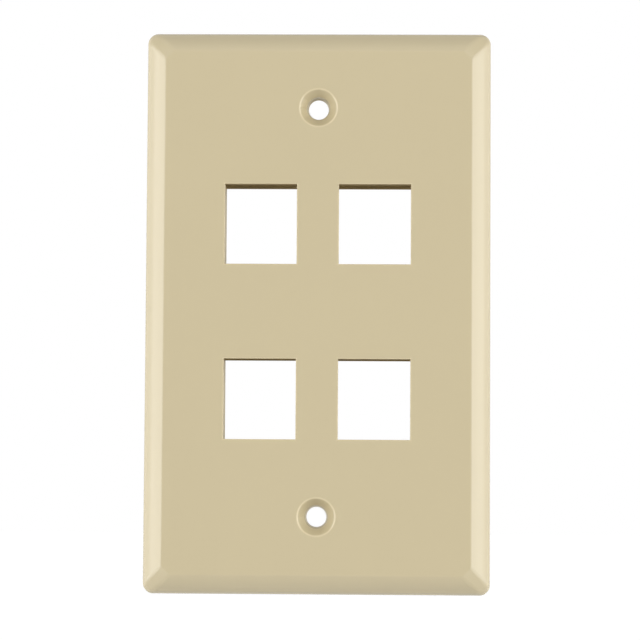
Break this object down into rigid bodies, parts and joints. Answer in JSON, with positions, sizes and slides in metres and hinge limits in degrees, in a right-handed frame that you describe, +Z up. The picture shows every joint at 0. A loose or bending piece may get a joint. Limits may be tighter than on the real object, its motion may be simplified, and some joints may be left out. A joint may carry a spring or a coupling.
{
  "type": "keystone faceplate",
  "caption": "Wall plate for one device box, with a crowned bevelled edge, openings for keystone jacks and countersunk screw holes above and below them.",
  "frame": {"origin": "middle of the plate on the wall plane, halfway between the screw holes", "axes": "as installed: +Z up, +X right seen from the front, -Y out of the wall towards the room"},
  "size_m": [0.0706, 0.01, 0.115],
  "materials": {
    "ivory_plastic": "satin"
  },
  "bodies": {
    "root": {"faceplate": "ivory_plastic"}
  },
  "joints": []
}
